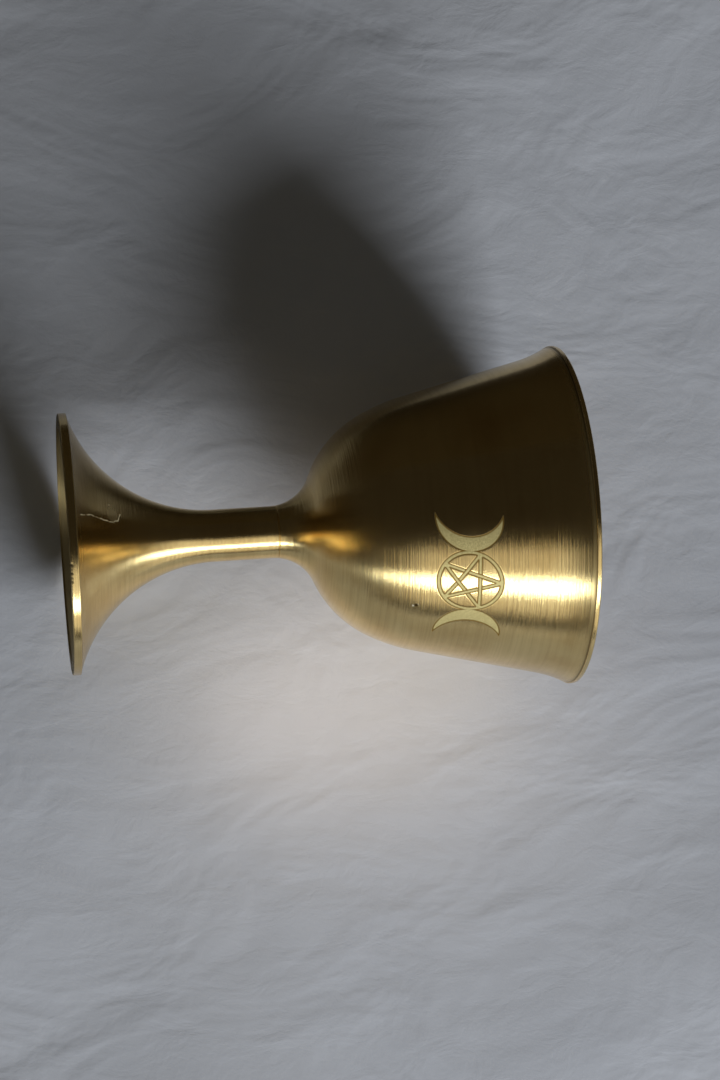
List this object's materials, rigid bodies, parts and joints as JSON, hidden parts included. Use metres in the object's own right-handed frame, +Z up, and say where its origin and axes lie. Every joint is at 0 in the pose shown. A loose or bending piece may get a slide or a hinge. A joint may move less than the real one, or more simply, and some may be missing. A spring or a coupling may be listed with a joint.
{
  "type": "small turned brass altar chalice",
  "caption": "Small satin brass altar chalice: flared bowl on a slender stem and trumpet foot, with an engraved moon-and-star emblem.",
  "frame": {"origin": "centre of the foot's standing face", "axes": "+Z up the axis to the mouth; the emblem faces -Y"},
  "size_m": [0.052, 0.052, 0.0762],
  "materials": {
    "bowl_brass": "turned satin, lines round the bowl",
    "stem_brass": "turned satin, lines round the stem",
    "stud_brass": "machined, unpolished"
  },
  "bodies": {
    "root": {"bowl": "bowl_brass", "stem_and_foot": "stem_brass", "joining_stud": "stud_brass"}
  },
  "joints": []
}
